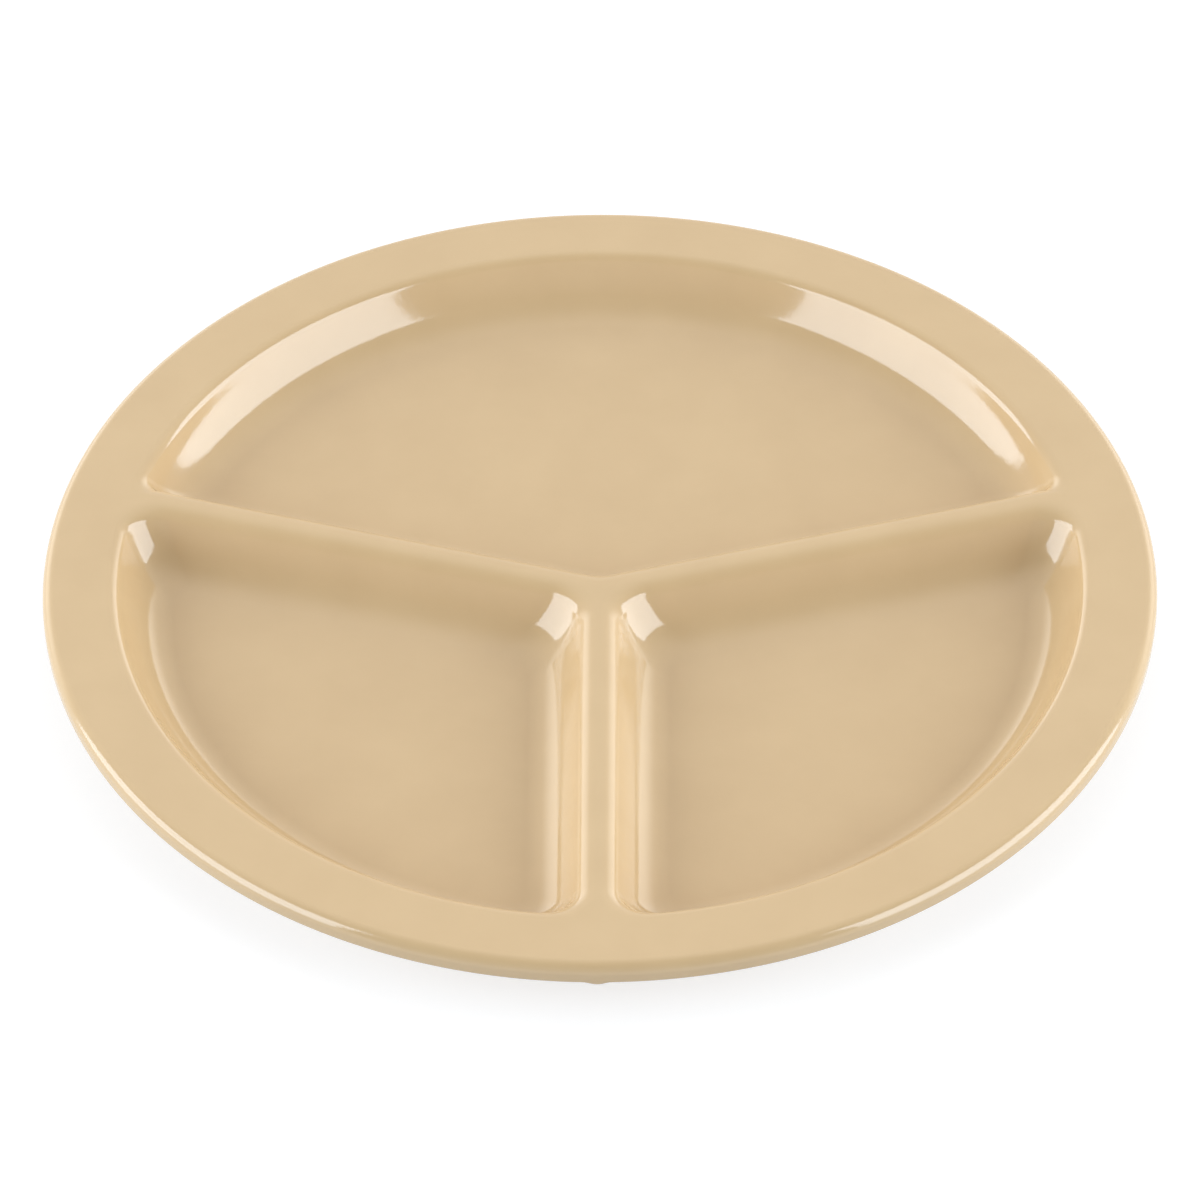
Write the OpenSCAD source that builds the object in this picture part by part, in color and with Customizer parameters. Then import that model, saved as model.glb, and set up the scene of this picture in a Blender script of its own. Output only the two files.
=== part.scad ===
// Round divided plate: one moulding with a flat rim, three sunk wells and a turned-down edge.
// The front of the plate faces -Y and the plate stands on its feet at z = 0. Sizes are in millimetres.

/* [Plate] */
// Diameter over the rim
plate_diameter = 260; // [248:1:280]
// Width of the flat rim, from the edge of the plate to the wells
rim_width = 15; // [13:0.5:18]
// Thickness of the rim, the walls and the floors
wall = 3; // [2.6:0.1:3.4]

/* [Wells] */
// Depth of the wells below the rim
well_depth = 12; // [11:0.1:16]
// Steepness of the well walls below the lip, in degrees from level
wall_angle = 62.5; // [60:0.5:66]
// Steepness at which a wall starts its turn into the floor, in degrees from level
floor_angle = 52; // [46:1:56]
// Radius of the lip where the rim rolls over into a well
lip_radius = 3.2; // [2.4:0.1:4.2]
// Radius of the turn from a wall into a floor
floor_radius = 11; // [8:0.1:12]
// Radius of the smaller wells' corners at the rim, seen from above, at the mouth
corner_top = 8.5; // [7:0.5:11]
// Radius of the back well's corners at the rim, seen from above, at the mouth
back_corner_top = 4; // [3.5:0.5:8]
// Radius of all these corners at the floor
corner_floor = 3.5; // [3:0.5:5]

/* [Dividers] */
// Width of the flat top of a divider's crest
crest_width = 0.4; // [0.2:0.1:3]
// Radius of the crest where a divider rolls over into a well
crest_radius = 5.1; // [4:0.1:5.6]
// Radius of a well's corner where two dividers meet, seen from above, at the mouth
junction_top = 11; // [9:0.5:13]
// Radius of the same corner at the floor
junction_floor = 10; // [8:0.5:12]
// How far in front of the plate's middle the dividers meet
meeting_offset = 4.9; // [3:0.1:10]
// Angle of the two side dividers toward the back, in degrees
divider_angle = 16; // [12:0.5:20]

/* [Edge] */
// Depth of the turned-down edge below the top of the rim
edge_depth = 5.4; // [5.2:0.1:8]
// Thickness of the turned-down edge
edge_width = 4.2; // [4:0.1:6]
// Radius of the upper outer corner of the edge
edge_radius_top = 2.8; // [2:0.1:3.6]
// Radius of the two lower corners of the edge
edge_radius_low = 1.2; // [0.8:0.1:1.4]

/* [Feet] */
// Height of the foot ring under each floor
foot_height = 2.4; // [1.6:0.1:4]
// Width of a foot ring
foot_width = 3; // [2.4:0.1:4]
// Distance of a foot ring in from the edge of the flat floor
foot_inset = 2; // [1.5:0.1:4]

/* [Gate mark] */
// Width of the moulding mark under the front of the edge
gate_width = 3.4; // [2.6:0.1:3.6]
// Height of the moulding mark below the edge
gate_drop = 0.6; // [0.3:0.1:1]

/* [Hidden] */

TAN = [0.86, 0.75, 0.60];
$fn = 96;

// Steps along the curves of the walls, corners and edge, and degrees to a step along a rim arc
lip_steps = 4;
wall_steps = 2;
floor_steps = 6;
corner_steps = 6;
edge_steps = 6;
arc_step = 5;

rim_radius = plate_diameter / 2;
well_radius = rim_radius - rim_width;
floor_underside = foot_height;
rim_top = foot_height + wall + well_depth;
meeting_point = [0, -meeting_offset];

// Each well lies between two divider directions, given counter-clockwise with the corner radius at the rim
back_well = [divider_angle, 180 - divider_angle, back_corner_top];
left_well = [180 - divider_angle, 270, corner_top];
right_well = [270, 360 + divider_angle, corner_top];
wells = [back_well, left_well, right_well];

// A well's mouth is the line where its walls, carried on straight upward, would meet the top of the rim.
// The mouth lies this far from the plate's middle at the rim, and from the middle of a divider beside it
lead = tan(wall_angle / 2);
mouth_radius = well_radius - lip_radius * lead;
mouth_gap = crest_width / 2 + crest_radius * lead;

// A wall is straight just below the lip, then slightly hollow down to its turn into the floor
straight_drop = 0.4;
hollow_start = max(lip_radius, crest_radius) * (1 - cos(wall_angle)) + straight_drop;
turn_drop = floor_radius * (1 - cos(floor_angle));
turn_run = floor_radius * sin(floor_angle);
wall_radius = (well_depth - hollow_start - turn_drop) / (cos(floor_angle) - cos(wall_angle));
// Distance of the flat floor in from the mouth
wall_run = hollow_start / tan(wall_angle) + wall_radius * (sin(wall_angle) - sin(floor_angle)) + turn_run;
// Steepness at each step from the floor up to the lip
bends = concat(
    [for (i = [0 : floor_steps]) floor_angle * i / floor_steps],
    [for (i = [1 : wall_steps]) floor_angle + (wall_angle - floor_angle) * i / wall_steps]
);

// The cavities start this far above the rim, and the cups this far below it
cavity_rise = 0.25;
cup_start = wall / 2;
// Depth of overlap that joins the feet to the floors and the gate mark to the edge
join = 1;
gate_root = 2;
gate_taper = 0.7;
gate_setback = 0.2;
// Fillet inside the turned-down edge, limited by the height that the edge leaves for it
fillet_limit = 1.5;
edge_fillet = min(fillet_limit, (edge_depth - edge_radius_low - wall) / 2);

function unit(a) = [cos(a), sin(a)];

// Angle of a vector, taken in the turn nearest to a given angle
function angle_near(v, a) = let (b = atan2(v[1], v[0])) b + 360 * round((a - b) / 360);

function arc(centre, r, from, to, steps) =
    [for (i = [0 : steps]) centre + r * unit(from + (to - from) * i / steps)];

// Radius of a corner that changes evenly from the mouth to the edge of the flat floor
function corner_radius(top, low, inset) = top + (low - top) * min(inset / wall_run, 1);

// Centre of the rounded corner between a divider and the rim arc
function rim_corner(along, across, reach) =
    let (b = meeting_point + across * (mouth_gap + reach))
    let (p = b * along)
    b + along * (sqrt(p * p - b * b + pow(mouth_radius - reach, 2)) - p);

function arc_steps(well) = round((well[1] - well[0]) / arc_step);

// Outline of a well seen from above, set in from its mouth and with rounded corners.
// The corners keep the centres that the inside of the wall has at the inset given by within
function outline(well, inset, within) =
    let (from = well[0], to = well[1])
    let (r = corner_radius(well[2], corner_floor, within) + within - inset)
    let (inner_r = corner_radius(junction_top, junction_floor, within) + within - inset)
    let (reach = inset + r, inner_reach = inset + inner_r)
    let (half = (to - from) / 2, middle = (to + from) / 2)
    let (first = rim_corner(unit(from), unit(from + 90), reach))
    let (last = rim_corner(unit(to), unit(to - 90), reach))
    let (inner = meeting_point + unit(middle) * (mouth_gap + inner_reach) / sin(half))
    let (first_angle = angle_near(first, from), last_angle = angle_near(last, to))
    let (steps = arc_steps(well))
    let (rim_arc = arc([0, 0], mouth_radius - inset, first_angle, last_angle, steps))
    concat(
        arc(first, r, from - 90, first_angle, corner_steps),
        [for (i = [1 : steps - 1]) rim_arc[i]],
        arc(last, r, last_angle, to + 90, corner_steps),
        arc(inner, inner_r, to + 90, from + 270, corner_steps)
    );

// How far each point of an outline has a divider's crest above it: 0 at the rim, 1 at a divider
function crest_share(well) =
    let (fade = [for (i = [0 : corner_steps]) pow(cos(90 * i / corner_steps), 2)])
    concat(
        fade,
        [for (i = [1 : arc_steps(well) - 1]) 0],
        [for (f = fade) 1 - f],
        [for (f = fade) 1]
    );

// Points of the wall profile: distance in from the mouth, and height from the rim
function lip_point(r, a) = [r * (sin(a) - lead), -r * (1 - cos(a))];
function turn_point(a) = [wall_run - floor_radius * sin(a), floor_radius * (1 - cos(a)) - well_depth];
function wall_point(a) =
    turn_point(floor_angle) + wall_radius * [sin(floor_angle) - sin(a), cos(floor_angle) - cos(a)];
function inside_point(a) = a > floor_angle ? wall_point(a) : turn_point(a);
function under_point(a) = inside_point(a) - wall * [sin(a), cos(a)];

function level(points, z) = [for (p = points) [p[0], p[1], z]];

function cavity_ring(well, p) = level(outline(well, p[0], p[0]), rim_top + p[1]);

// A ring of the lip, given at the rim and at the dividers and blended in the corners between them
function lip_ring(well, at_rim, at_crest) =
    let (rim = cavity_ring(well, at_rim), crest = cavity_ring(well, at_crest))
    let (share = crest_share(well))
    [for (i = [0 : len(rim) - 1]) rim[i] * (1 - share[i]) + crest[i] * share[i]];

// A ring of the underside keeps the corner centres of the inside, whose inset is given as well
function cup_ring(well, p, inside) = level(outline(well, p[0], inside), rim_top + p[1]);

// Solid between stacked rings of equal length, lowest ring first
module skin(rings) {
    n = len(rings[0]);
    top = len(rings) - 1;
    points = [for (ring = rings) for (p = ring) p];
    sides = [for (k = [0 : top - 1]) for (i = [0 : n - 1])
        let (j = (i + 1) % n, low = k * n, high = low + n)
        for (face = [[low + i, high + j, low + j], [low + i, high + i, high + j]]) face];
    floor_face = [for (i = [0 : n - 1]) i];
    top_face = [for (i = [n - 1 : -1 : 0]) top * n + i];
    polyhedron(points, concat([floor_face], sides, [top_face]));
}

// Space inside a well, carried a little above the rim so that it cuts through cleanly
module cavity(well) {
    first = wall_angle / lip_steps;
    hollow = [for (a = bends) cavity_ring(well, inside_point(a))];
    lip = [for (a = [for (i = [lip_steps : -1 : 1]) first * i])
        lip_ring(well, lip_point(lip_radius, a), lip_point(crest_radius, a))];
    rise = [-cavity_rise / tan(first / 2), cavity_rise];
    top = lip_ring(well, lip_point(lip_radius, 0) + rise, lip_point(crest_radius, 0) + rise);
    skin(concat(hollow, lip, [top]));
}

// Outside of a well, from its floor up into the rim
module cup(well) {
    low_rings = [for (a = bends) cup_ring(well, under_point(a), inside_point(a)[0])];
    wall_foot = under_point(wall_angle);
    start = wall_foot[0] - (-cup_start - wall_foot[1]) / tan(wall_angle);
    top_ring = cup_ring(well, [start, -cup_start], start + wall * sin(wall_angle));
    skin(concat(low_rings, [top_ring]));
}

// Foot ring under the flat floor of a well
module foot(well) {
    outer = wall_run + foot_inset;
    linear_extrude(height = floor_underside + join) difference() {
        polygon(outline(well, outer, outer));
        polygon(outline(well, outer + foot_width, outer + foot_width));
    }
}

// Flat rim over the whole plate with its turned-down edge, before the wells are sunk
module rim() {
    inner = rim_radius - edge_width;
    low = edge_radius_low - edge_depth;
    turn = arc([inner - edge_fillet, -wall - edge_fillet], edge_fillet, 90, 0, edge_steps);
    low_inner = arc([inner + edge_radius_low, low], edge_radius_low, 180, 270, edge_steps);
    low_outer = arc([rim_radius - edge_radius_low, low], edge_radius_low, 270, 360, edge_steps);
    top = arc([rim_radius - edge_radius_top, -edge_radius_top], edge_radius_top, 0, 90, edge_steps);
    translate([0, 0, rim_top])
        rotate_extrude()
            polygon(concat([[0, -wall]], turn, low_inner, low_outer, top, [[0, 0]]));
}

// Small moulding mark under the front of the edge
module gate_mark() {
    r = gate_width / 2;
    translate([0, r + gate_setback - rim_radius, rim_top - edge_depth - gate_drop])
        cylinder(h = gate_drop + gate_root, r1 = r * gate_taper, r2 = r);
}

module plate() {
    color(TAN)
        difference() {
            union() {
                rim();
                gate_mark();
                for (well = wells) cup(well);
                for (well = wells) foot(well);
            }
            for (well = wells) cavity(well);
        }
}

plate();
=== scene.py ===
"""Round divided plate in glossy tan plastic, on a pale studio floor."""
import math

import bpy
import numpy as np
from mathutils import Euler, Matrix, Vector
from mathutils.geometry import delaunay_2d_cdt


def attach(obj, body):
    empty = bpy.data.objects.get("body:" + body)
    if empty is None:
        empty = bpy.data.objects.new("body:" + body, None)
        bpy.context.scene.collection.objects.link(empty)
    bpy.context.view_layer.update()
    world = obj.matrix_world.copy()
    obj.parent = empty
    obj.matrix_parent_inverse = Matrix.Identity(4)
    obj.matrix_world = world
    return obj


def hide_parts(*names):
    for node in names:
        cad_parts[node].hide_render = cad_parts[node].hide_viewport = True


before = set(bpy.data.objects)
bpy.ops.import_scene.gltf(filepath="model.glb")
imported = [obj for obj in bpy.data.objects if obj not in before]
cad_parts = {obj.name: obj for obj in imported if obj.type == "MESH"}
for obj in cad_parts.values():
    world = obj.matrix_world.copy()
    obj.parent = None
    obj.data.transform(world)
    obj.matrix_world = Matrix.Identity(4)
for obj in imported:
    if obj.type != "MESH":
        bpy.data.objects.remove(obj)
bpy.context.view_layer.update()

# Sizes in millimetres and angles in degrees, as in the plate's source
PLATE_DIAMETER = 260.0
RIM_WIDTH = 15.0
WALL = 3.0
WELL_DEPTH = 12.0
WALL_ANGLE = 62.5
FLOOR_ANGLE = 52.0
LIP_RADIUS = 3.2
FLOOR_RADIUS = 11.0
CORNER_TOP = 8.5
BACK_CORNER_TOP = 4.0
CORNER_FLOOR = 3.5
CREST_WIDTH = 0.4
CREST_RADIUS = 5.1
JUNCTION_TOP = 11.0
JUNCTION_FLOOR = 10.0
MEETING_OFFSET = 4.9
DIVIDER_ANGLE = 16.0
EDGE_DEPTH = 5.4
EDGE_WIDTH = 4.2
EDGE_RADIUS_TOP = 2.8
EDGE_RADIUS_LOW = 1.2
EDGE_FILLET = 0.6
FOOT_HEIGHT = 2.4
FOOT_WIDTH = 3.0
FOOT_INSET = 2.0
FOOT_ROUND = 0.7
GATE_WIDTH = 3.4
GATE_DROP = 0.6

# Mesh steps along the curves
CORNER_STEPS = 28
ARC_STEP = 1.0
LIP_STEPS = 32
UNDER_LIP_STEPS = LIP_STEPS // 4
WALL_STEPS = 6
FLOOR_STEPS = 14
EDGE_STEPS = 12
FOOT_STEPS = 5
TURN_STEPS = 360
GATE_STEPS = 24

METRES = 0.001
FULL_TURN = 360.0
FRONT = 270.0
UP = np.array([0.0, 0.0, 1.0])

# Step for the differences that give the normals, and a size that counts as nothing
NUDGE = 1e-4
TINY = 1e-6

# Delaunay's output type for the triangles inside the given edges
TRIANGLES_INSIDE = 1

RIM_RADIUS = PLATE_DIAMETER / 2
WELL_RADIUS = RIM_RADIUS - RIM_WIDTH
RIM_TOP = FOOT_HEIGHT + WALL + WELL_DEPTH
MEETING_POINT = np.array([0.0, -MEETING_OFFSET])

# Each well's first and last divider, and its corner radius at the rim
WELLS = (
    (DIVIDER_ANGLE, 180 - DIVIDER_ANGLE, BACK_CORNER_TOP),
    (180 - DIVIDER_ANGLE, FRONT, CORNER_TOP),
    (FRONT, FULL_TURN + DIVIDER_ANGLE, CORNER_TOP),
)

# A well's mouth is the line where its walls, carried on straight upward, would meet the rim's top
SLOPE = math.radians(WALL_ANGLE)
TURN = math.radians(FLOOR_ANGLE)
LEAD = math.tan(SLOPE / 2)
MOUTH_RADIUS = WELL_RADIUS - LIP_RADIUS * LEAD
MOUTH_GAP = CREST_WIDTH / 2 + CREST_RADIUS * LEAD

# A wall is straight just below the lip, then slightly hollow down to its turn into the floor
STRAIGHT_DROP = 0.4
HOLLOW_START = max(LIP_RADIUS, CREST_RADIUS) * (1 - math.cos(SLOPE)) + STRAIGHT_DROP
TURN_DROP = FLOOR_RADIUS * (1 - math.cos(TURN))
TURN_RUN = FLOOR_RADIUS * math.sin(TURN)
WALL_RADIUS = (WELL_DEPTH - HOLLOW_START - TURN_DROP) / (math.cos(TURN) - math.cos(SLOPE))
HOLLOW_RUN = WALL_RADIUS * (math.sin(SLOPE) - math.sin(TURN))
WALL_RUN = HOLLOW_START / math.tan(SLOPE) + HOLLOW_RUN + TURN_RUN

# Plastic: mottled tint, uneven gloss and orange peel, each noise with its scale and detail
TINT_DARK = (0.676, 0.475, 0.257, 1)
TINT_LIGHT = (0.706, 0.501, 0.274, 1)
TINT_SPAN = (0.3, 0.7)
TINT_NOISE = (55.0, 4.0)
GLOSS_SPAN = (0.09, 0.13)
GLOSS_NOISE = (130.0, 3.0)
PEEL_NOISE = (420.0, 1.0)
PEEL_STRENGTH = 0.02
PEEL_DISTANCE = 0.001
REFRACTION = 1.72

# Floor: half its width in metres, its grey and its glow where it is seen
FLOOR_REACH = 6.0
FLOOR_GREY = (0.45, 0.45, 0.45, 1)
FLOOR_GLOW = 0.7

# Room: directions of its bright parts, then start and end of each rise and its lowest and highest level
ROOM_BACK = (0.0, 0.93, 0.37)
ROOM_LEVEL = (0.0, 0.95, 0.1, 0.96)
GLOW_LEFT = (-0.64, 0.765, 0.07)
GLOW_RIGHT = (0.64, 0.765, 0.07)
GLOW_LEVEL = (0.86, 1.0, 0.0, 1.3)
ROOM_FRONT = (0.0, -0.966, -0.259)
FRONT_LEVEL = (0.5, 0.9, 0.0, 0.45)

# The panels are slightly cool and the room slightly warm
PANEL_TINT = (0.905, 0.99, 1.085)
ROOM_TINT = (1.03, 1.0, 0.95, 1)

# Right softbox in metres and watts; the left one mirrors it
SOFTBOX_PLACE = (1.96, -0.2, 0.84)
SOFTBOX_TARGET = (1.094, 0.3, 0.84)
SOFTBOX_WIDTH = 2.52
SOFTBOX_HEIGHT = 1.68
SOFTBOX_WATTS = 52.5

# Camera, in metres and degrees, and where the centre of the rim's top lies in the picture, in pixels
CAMERA_DISTANCE = 1.9
CAMERA_ELEVATION = 42.71
CAMERA_ROLL = -0.37
CAMERA_ROUND = 0.52
PICTURE_PIXELS = 1200.0
PIXELS_PER_METRE = 4286.0
RIM_CENTRE_ACROSS = 599.9
RIM_CENTRE_DOWN = 569.8
SENSOR_WIDTH = 36.0
CLIP_END = 50.0


def unit(degrees):
    a = np.radians(degrees)
    return np.stack([np.cos(a), np.sin(a)], axis=-1)


def angle_near(v, degrees):
    """Direction of v in degrees, in the turn that lies nearest to the given angle."""
    a = math.degrees(math.atan2(v[1], v[0]))
    return a + FULL_TURN * round((degrees - a) / FULL_TURN)


def quarter_turn(steps):
    """Sines and cosines along a quarter turn."""
    return [(math.sin(a), math.cos(a)) for a in np.linspace(0, math.pi / 2, steps + 1)]


def corner_radii(top, inset):
    """Radii of a well's outline at the rim and where the dividers meet, at a distance in from the mouth."""
    share = min(inset / WALL_RUN, 1.0)
    at_rim = top + (CORNER_FLOOR - top) * share
    at_junction = JUNCTION_TOP + (JUNCTION_FLOOR - JUNCTION_TOP) * share
    return at_rim, at_junction


def rim_corner(along, across, reach):
    """Centre of the rounded corner between a divider and the rim arc."""
    b = MEETING_POINT + across * (MOUTH_GAP + reach)
    p = b @ along
    return b + along * (math.sqrt(p * p - b @ b + (MOUTH_RADIUS - reach) ** 2) - p)


def arc_steps(well):
    return int(round((well[1] - well[0]) / ARC_STEP))


def outline(well, inset, within, shift=0.0):
    """Points of a well's outline set in from its mouth, moved on by a share of each stretch.

    The corners keep the centres that the inside of the wall has at the inset given by within.
    """
    start, end, corner_top = well
    at_rim, at_junction = corner_radii(corner_top, within)
    r = at_rim + within - inset
    inner_r = at_junction + within - inset
    reach = inset + r
    first = rim_corner(unit(start), unit(start + 90), reach)
    last = rim_corner(unit(end), unit(end - 90), reach)
    half = math.radians((end - start) / 2)
    inner = MEETING_POINT + unit((start + end) / 2) * (MOUTH_GAP + inset + inner_r) / math.sin(half)
    a0 = angle_near(first, start)
    a1 = angle_near(last, end)
    corner = np.linspace(0, 1, CORNER_STEPS + 1) + shift
    arc = np.linspace(0, 1, arc_steps(well) + 1)[1:-1] + shift
    stretches = (
        (first, r, start - 90, a0, corner),
        (np.zeros(2), MOUTH_RADIUS - inset, a0, a1, arc),
        (last, r, a1, end + 90, corner),
        (inner, inner_r, end + 90, start + 270, corner),
    )
    return np.concatenate([c + radius * unit(a + (b - a) * u) for c, radius, a, b, u in stretches])


def crest_share(well, shift=0.0):
    """How far each point of an outline has a divider's crest above it: 0 at the rim, 1 at a divider."""
    fade = np.cos((np.linspace(0, 1, CORNER_STEPS + 1) + shift) * math.pi / 2) ** 2
    rim = np.zeros(arc_steps(well) - 1)
    return np.concatenate([fade, rim, 1 - fade, np.ones(CORNER_STEPS + 1)])[:, None]


def inside(loop, points):
    """Which of the points lie inside a closed loop."""
    a = loop[None]
    b = np.roll(loop, -1, axis=0)[None]
    x, y = points[:, :1], points[:, 1:]
    crosses = (a[..., 1] > y) != (b[..., 1] > y)
    rise = np.where(crosses, b[..., 1] - a[..., 1], 1.0)
    at = (b[..., 0] - a[..., 0]) * (y - a[..., 1]) / rise + a[..., 0]
    return (crosses & (x < at)).sum(axis=1) % 2 == 1


class Shell:
    """Gathers vertices, faces and a normal for each face corner."""

    def __init__(self):
        self.points = []
        self.faces = []
        self.normals = []

    def ring(self, points):
        start = len(self.points)
        self.points.extend(points)
        return list(range(start, start + len(points)))

    def strip(self, a, b, na, nb, flip=False):
        """Four-sided faces between two rings."""
        n = len(a)
        for i in range(n):
            j = (i + 1) % n
            face = [a[i], a[j], b[j], b[i]]
            normals = [na[i], na[j], nb[j], nb[i]]
            if flip:
                face.reverse()
                normals.reverse()
            self.faces.append(face)
            self.normals.extend(normals)

    def fill(self, loops, normal):
        """Flat triangles between an outer loop and the holes in it."""
        ids = [i for loop in loops for i in loop]
        flat = np.array([self.points[i][:2] for i in ids])
        edges = []
        start = 0
        for loop in loops:
            n = len(loop)
            edges.extend((start + i, start + (i + 1) % n) for i in range(n))
            start += n
        spots = [Vector(p) for p in flat]
        _, _, triangles, sources, _, _ = delaunay_2d_cdt(spots, edges, [], TRIANGLES_INSIDE, TINY)
        corners = np.array([[sources[i][0] for i in face] for face in triangles])
        middles = flat[corners].mean(axis=1)
        start = len(loops[0])
        keep = np.full(len(corners), True)
        for loop in loops[1:]:
            keep &= ~inside(flat[start:start + len(loop)], middles)
            start += len(loop)
        a, b, c = (flat[corners[:, k]] for k in range(3))
        turn = (b - a)[:, 0] * (c - a)[:, 1] - (b - a)[:, 1] * (c - a)[:, 0]
        for face in np.where((turn * normal[2] < 0)[:, None], corners[:, ::-1], corners)[keep]:
            self.faces.append([ids[i] for i in face])
            self.normals.extend([normal] * 3)

    def loft(self, well, profile, steps, first, under=False):
        """Strips along a wall profile, from the ring first on. Returns the last ring."""
        last = first
        last_normals = None
        for k, t in enumerate(steps):
            points, normals = surface_ring(well, profile, t, under)
            ids = self.ring(points) if k else first
            if k:
                self.strip(last, ids, last_normals, normals, under)
            last, last_normals = ids, normals
        return last


def stack(well, profile, t, shift=0.0):
    """A ring of points on a wall, with the rim's lip blended into the dividers' crests.

    A profile gives the inset, the inset of the wall's inside, and the height below the rim's top.
    """
    rings = []
    for lip_radius in (LIP_RADIUS, CREST_RADIUS):
        inset, within, z = profile(t, lip_radius)
        points = outline(well, inset, within, shift)
        rings.append(np.column_stack([points, np.full(len(points), z + RIM_TOP)]))
    share = crest_share(well, shift)
    return rings[0] * (1 - share) + rings[1] * share


def surface_ring(well, profile, t, under):
    """A ring of points on a lofted wall with its exact normals."""
    along = stack(well, profile, t + NUDGE) - stack(well, profile, t - NUDGE)
    if profile in (hollow, under_hollow):
        along = -along
    around = stack(well, profile, t, NUDGE) - stack(well, profile, t, -NUDGE)
    normals = np.cross(around, along)
    normals /= np.linalg.norm(normals, axis=1)[:, None]
    return stack(well, profile, t), -normals if under else normals


def lip(t, radius):
    """Lip from the level rim at 0 down to the steepness t."""
    inset = radius * (math.sin(t) - LEAD)
    return inset, inset, radius * (math.cos(t) - 1)


def hollow(t, _):
    """Wall and its turn into the floor, from the steepness t down to the level floor at 0."""
    if t < TURN:
        inset = WALL_RUN - FLOOR_RADIUS * math.sin(t)
        rise = FLOOR_RADIUS * (1 - math.cos(t))
    else:
        inset = WALL_RUN - TURN_RUN - WALL_RADIUS * (math.sin(t) - math.sin(TURN))
        rise = TURN_DROP + WALL_RADIUS * (math.cos(TURN) - math.cos(t))
    return inset, inset, rise - WELL_DEPTH


def under_lip(t, radius):
    within = radius * (math.sin(t) - LEAD)
    inset = within - WALL * math.sin(t)
    return inset, within, (radius - WALL) * math.cos(t) - radius


def under_hollow(t, radius):
    within, _, height = hollow(t, radius)
    return within - WALL * math.sin(t), within, height - WALL * math.cos(t)


def foot_profile():
    """Points of a foot ring's section with their normals, from the floor's edge inward."""
    outer = WALL_RUN + FOOT_INSET
    inner = outer + FOOT_WIDTH
    top = -WELL_DEPTH - WALL
    low = top - FOOT_HEIGHT
    f = FOOT_ROUND
    quarter = quarter_turn(FOOT_STEPS)
    path = [(WALL_RUN, top, 0.0, -1.0)]
    path += [(outer - f + f * s, top - f + f * c, -s, -c) for s, c in quarter]
    path += [(outer + f - f * c, low + f - f * s, -c, -s) for s, c in quarter]
    path += [(inner - f + f * s, low + f - f * c, s, -c) for s, c in quarter]
    path += [(inner + f - f * c, top - f + f * s, c, -s) for s, c in quarter]
    return path


def edge_profile():
    """Points of the turned-down edge's section with their normals: radius, height, normal."""
    top, low, fillet = EDGE_RADIUS_TOP, EDGE_RADIUS_LOW, EDGE_FILLET
    inner = RIM_RADIUS - EDGE_WIDTH
    quarter = quarter_turn(EDGE_STEPS)
    path = [(RIM_RADIUS - top + top * s, top * (c - 1), s, c) for s, c in quarter]
    path += [(RIM_RADIUS - low + low * c, low - EDGE_DEPTH - low * s, c, -s) for s, c in quarter]
    path += [(inner + low - low * s, low - EDGE_DEPTH - low * c, -s, -c) for s, c in quarter]
    path += [(inner - fillet + fillet * c, fillet * (s - 1) - WALL, -c, -s) for s, c in quarter]
    return path


def build_edge(shell):
    """Turned-down edge, with the moulding mark as a low swelling under its front. Returns its end rings."""
    span = math.degrees(GATE_WIDTH / RIM_RADIUS)
    fine = np.linspace(FRONT - span, FRONT + span, GATE_STEPS + 1)
    coarse = np.linspace(FRONT + span, FRONT + FULL_TURN - span, TURN_STEPS + 1)[1:-1]
    turns = np.concatenate([fine, coarse])
    away = np.minimum(np.abs(turns - FRONT), np.abs(turns - FRONT - FULL_TURN)) / span
    swell = GATE_DROP * np.where(away < 1, np.cos(np.minimum(away, 1) * math.pi / 2) ** 2, 0.0)
    rings = []
    for r, z, nr, nz in edge_profile():
        depth = np.clip((-z - EDGE_DEPTH / 2) / (EDGE_DEPTH / 2 - EDGE_RADIUS_LOW), 0.0, 1.0)
        outside = 1.0 if r > RIM_RADIUS - EDGE_WIDTH / 2 else 0.0
        heights = RIM_TOP + z - swell * depth * outside
        points = np.column_stack([unit(turns) * r, heights])
        normals = np.column_stack([unit(turns) * nr, np.full(len(turns), nz)])
        # A normal of zero length leaves the mark's shading to the mesh
        normals[swell * depth > TINY] = 0.0
        rings.append((shell.ring(points), normals))
    for (a, na), (b, nb) in zip(rings, rings[1:]):
        shell.strip(a, b, na, nb, True)
    return rings[0][0], rings[-1][0]


def build_foot(shell, well, last):
    """Foot ring under a well, from the ring last at the floor's edge inward. Returns its last ring."""
    last_normals = None
    for inset, z, n_in, n_up in foot_profile():
        points = outline(well, inset, inset)
        around = outline(well, inset, inset, NUDGE) - outline(well, inset, inset, -NUDGE)
        inward = np.column_stack([-around[:, 1], around[:, 0]])
        inward = inward / np.linalg.norm(around, axis=1)[:, None]
        normals = np.column_stack([inward * n_in, np.full(len(points), n_up)])
        if last_normals is None:
            last_normals = normals
            continue
        ids = shell.ring(np.column_stack([points, np.full(len(points), z + RIM_TOP)]))
        shell.strip(last, ids, last_normals, normals, True)
        last, last_normals = ids, normals
    return last


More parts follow.
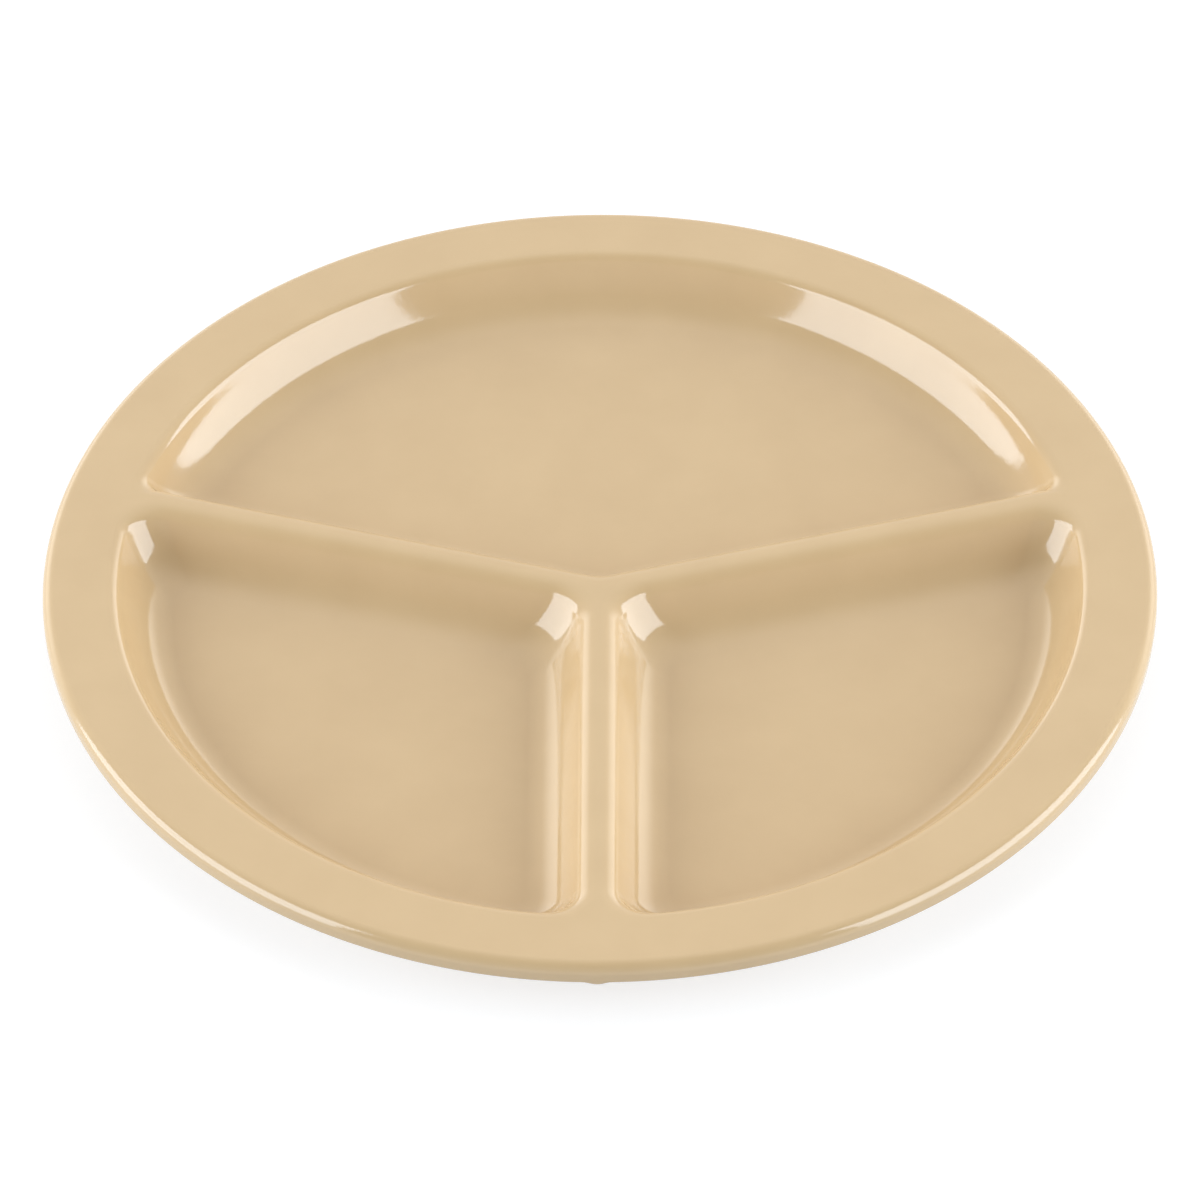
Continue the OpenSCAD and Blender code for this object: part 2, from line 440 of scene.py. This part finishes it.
def build_well_side(shell, well, lip_profile, wall_profile, lip_steps, under):
    """Lip, wall and turn into the floor, on the inside or the underside. Returns the first and last rings."""
    wall_bends = np.linspace(SLOPE, TURN, WALL_STEPS + 1)
    bends = np.concatenate([wall_bends, np.linspace(TURN, 0, FLOOR_STEPS + 1)[1:]])
    mouth = shell.ring(stack(well, lip_profile, 0.0))
    lip_end = shell.loft(well, lip_profile, np.linspace(0, SLOPE, lip_steps + 1), mouth, under)
    points, normals = surface_ring(well, wall_profile, SLOPE, under)
    wall_top = shell.ring(points)
    lip_normals = surface_ring(well, lip_profile, SLOPE, under)[1]
    shell.strip(lip_end, wall_top, lip_normals, normals, under)
    return mouth, shell.loft(well, wall_profile, bends, wall_top, under)


def build_plate():
    shell = Shell()
    edge_top, edge_under = build_edge(shell)
    tops = [edge_top]
    unders = [edge_under]
    for well in WELLS:
        mouth, floor = build_well_side(shell, well, lip, hollow, LIP_STEPS, False)
        tops.append(mouth)
        shell.fill([floor], UP)
        mouth, floor = build_well_side(shell, well, under_lip, under_hollow, UNDER_LIP_STEPS, True)
        unders.append(mouth)
        shell.fill([build_foot(shell, well, floor)], -UP)
    shell.fill(tops, UP)
    shell.fill(unders, -UP)

    mesh = bpy.data.meshes.new("plate_moulding")
    mesh.from_pydata([Vector(p) * METRES for p in shell.points], [], shell.faces)
    mesh.polygons.foreach_set("use_smooth", [True] * len(mesh.polygons))
    mesh.normals_split_custom_set([tuple(n) for n in shell.normals])
    mesh.update()
    moulding = bpy.data.objects.new("plate_moulding", mesh)
    bpy.context.scene.collection.objects.link(moulding)
    return moulding


def noise(tree, where, scale, detail):
    """Noise texture fixed to the object."""
    texture = tree.nodes.new("ShaderNodeTexNoise")
    texture.inputs["Scale"].default_value = scale
    texture.inputs["Detail"].default_value = detail
    tree.links.new(where.outputs["Object"], texture.inputs["Vector"])
    return texture.outputs["Fac"]


def combine(tree, a, b, operation="ADD"):
    """Arithmetic on two node outputs."""
    node = tree.nodes.new("ShaderNodeMath")
    node.operation = operation
    tree.links.new(a, node.inputs[0])
    tree.links.new(b, node.inputs[1])
    return node.outputs[0]


def facing(tree, where, direction):
    """How far a direction in the room agrees with the given one."""
    dot = tree.nodes.new("ShaderNodeVectorMath")
    dot.operation = "DOT_PRODUCT"
    dot.inputs[1].default_value = direction
    tree.links.new(where.outputs["Generated"], dot.inputs[0])
    return dot.outputs["Value"]


def smooth_rise(tree, value, start, end, low, high):
    """Smooth rise from low to high while a value goes from start to end."""
    node = tree.nodes.new("ShaderNodeMapRange")
    node.interpolation_type = "SMOOTHSTEP"
    node.inputs["From Min"].default_value = start
    node.inputs["From Max"].default_value = end
    node.inputs["To Min"].default_value = low
    node.inputs["To Max"].default_value = high
    tree.links.new(value, node.inputs["Value"])
    return node.outputs["Result"]


def tan_plastic():
    """Glossy tan melamine: faint mottling, a little unevenness in the gloss and a slight orange peel."""
    material = bpy.data.materials.new("tan_plastic")
    material.use_nodes = True
    tree = material.node_tree
    shader = tree.nodes["Principled BSDF"]
    shader.inputs["IOR"].default_value = REFRACTION
    where = tree.nodes.new("ShaderNodeTexCoord")

    tint = tree.nodes.new("ShaderNodeValToRGB")
    ends = zip(tint.color_ramp.elements, TINT_SPAN, (TINT_DARK, TINT_LIGHT))
    for element, position, color in ends:
        element.position = position
        element.color = color
    tree.links.new(noise(tree, where, *TINT_NOISE), tint.inputs["Fac"])
    tree.links.new(tint.outputs["Color"], shader.inputs["Base Color"])

    gloss = tree.nodes.new("ShaderNodeMapRange")
    gloss.inputs["To Min"].default_value = GLOSS_SPAN[0]
    gloss.inputs["To Max"].default_value = GLOSS_SPAN[1]
    tree.links.new(noise(tree, where, *GLOSS_NOISE), gloss.inputs["Value"])
    tree.links.new(gloss.outputs["Result"], shader.inputs["Roughness"])

    bump = tree.nodes.new("ShaderNodeBump")
    bump.inputs["Strength"].default_value = PEEL_STRENGTH
    bump.inputs["Distance"].default_value = PEEL_DISTANCE
    tree.links.new(noise(tree, where, *PEEL_NOISE), bump.inputs["Height"])
    tree.links.new(bump.outputs["Normal"], shader.inputs["Normal"])
    return material


def studio_floor():
    """Pale matt floor that keeps the plate's shadow and looks white."""
    mesh = bpy.data.meshes.new("studio_floor")
    s = FLOOR_REACH
    mesh.from_pydata([(-s, -s, 0), (s, -s, 0), (s, s, 0), (-s, s, 0)], [], [(0, 1, 2, 3)])
    floor = bpy.data.objects.new("studio_floor", mesh)
    bpy.context.scene.collection.objects.link(floor)
    material = bpy.data.materials.new("studio_white")
    material.use_nodes = True
    tree = material.node_tree
    shader = tree.nodes["Principled BSDF"]
    shader.inputs["Base Color"].default_value = FLOOR_GREY
    shader.inputs["Roughness"].default_value = 1.0
    shader.inputs["Specular IOR Level"].default_value = 0.0
    shader.inputs["Emission Color"].default_value = (1, 1, 1, 1)
    path = tree.nodes.new("ShaderNodeLightPath").outputs
    seen = combine(tree, path["Is Camera Ray"], path["Is Glossy Ray"])
    seen = combine(tree, seen, path["Is Transmission Ray"])
    lift = tree.nodes.new("ShaderNodeMath")
    lift.operation = "MULTIPLY"
    lift.inputs[1].default_value = FLOOR_GLOW
    tree.links.new(seen, lift.inputs[0])
    tree.links.new(lift.outputs[0], shader.inputs["Emission Strength"])
    mesh.materials.append(material)


def studio_world():
    """Pale room, bright behind and above the plate, with a glow low on both sides and a dim fill in front."""
    world = bpy.data.worlds.new("studio")
    world.use_nodes = True
    tree = world.node_tree
    where = tree.nodes.new("ShaderNodeTexCoord")
    level = smooth_rise(tree, facing(tree, where, ROOM_BACK), *ROOM_LEVEL)
    sides = [facing(tree, where, direction) for direction in (GLOW_LEFT, GLOW_RIGHT)]
    glow = smooth_rise(tree, combine(tree, *sides, "MAXIMUM"), *GLOW_LEVEL)
    fill = smooth_rise(tree, facing(tree, where, ROOM_FRONT), *FRONT_LEVEL)
    total = combine(tree, combine(tree, level, glow), fill)
    background = tree.nodes["Background"]
    tree.links.new(total, background.inputs["Strength"])
    background.inputs["Color"].default_value = ROOM_TINT
    return world


def softbox(name, side):
    """Large panel on one side: -1 for the left, 1 for the right."""
    lamp = bpy.data.lights.new(name, "AREA")
    lamp.shape = "RECTANGLE"
    lamp.size = SOFTBOX_WIDTH
    lamp.size_y = SOFTBOX_HEIGHT
    lamp.energy = SOFTBOX_WATTS
    lamp.color = PANEL_TINT
    mirror = Vector((side, 1.0, 1.0))
    place = Vector(SOFTBOX_PLACE) * mirror
    target = Vector(SOFTBOX_TARGET) * mirror
    box = bpy.data.objects.new(name, lamp)
    box.location = place
    box.rotation_euler = (target - place).to_track_quat("-Z", "Y").to_euler()
    bpy.context.scene.collection.objects.link(box)


def camera():
    """Long lens at the photograph's height, aimed so that the rim's centre lies where the picture has it."""
    elevation = math.radians(CAMERA_ELEVATION)
    round_about = math.radians(CAMERA_ROUND)
    focal_pixels = PIXELS_PER_METRE * CAMERA_DISTANCE
    data = bpy.data.cameras.new("camera")
    data.sensor_width = SENSOR_WIDTH
    data.lens = SENSOR_WIDTH * focal_pixels / PICTURE_PIXELS
    data.clip_end = CLIP_END
    eye = bpy.data.objects.new("camera", data)
    away = CAMERA_DISTANCE * math.cos(elevation)
    height = RIM_TOP * METRES + CAMERA_DISTANCE * math.sin(elevation)
    eye.location = (away * math.sin(round_about), -away * math.cos(round_about), height)
    drop = math.atan((PICTURE_PIXELS / 2 - RIM_CENTRE_DOWN) / focal_pixels)
    turn = math.atan((RIM_CENTRE_ACROSS - PICTURE_PIXELS / 2) / focal_pixels)
    level = Euler((math.pi / 2 - elevation - drop, 0.0, round_about + turn)).to_matrix()
    roll = Matrix.Rotation(math.radians(CAMERA_ROLL), 3, "Z")
    eye.rotation_euler = (level @ roll).to_euler()
    bpy.context.scene.collection.objects.link(eye)
    bpy.context.scene.camera = eye


plate = build_plate()
plate.data.materials.append(tan_plastic())
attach(plate, "root")
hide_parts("plate")

studio_floor()
camera()
softbox("left_softbox", -1)
softbox("right_softbox", 1)

scene = bpy.context.scene
scene.view_settings.view_transform = "Standard"
scene.world = studio_world()
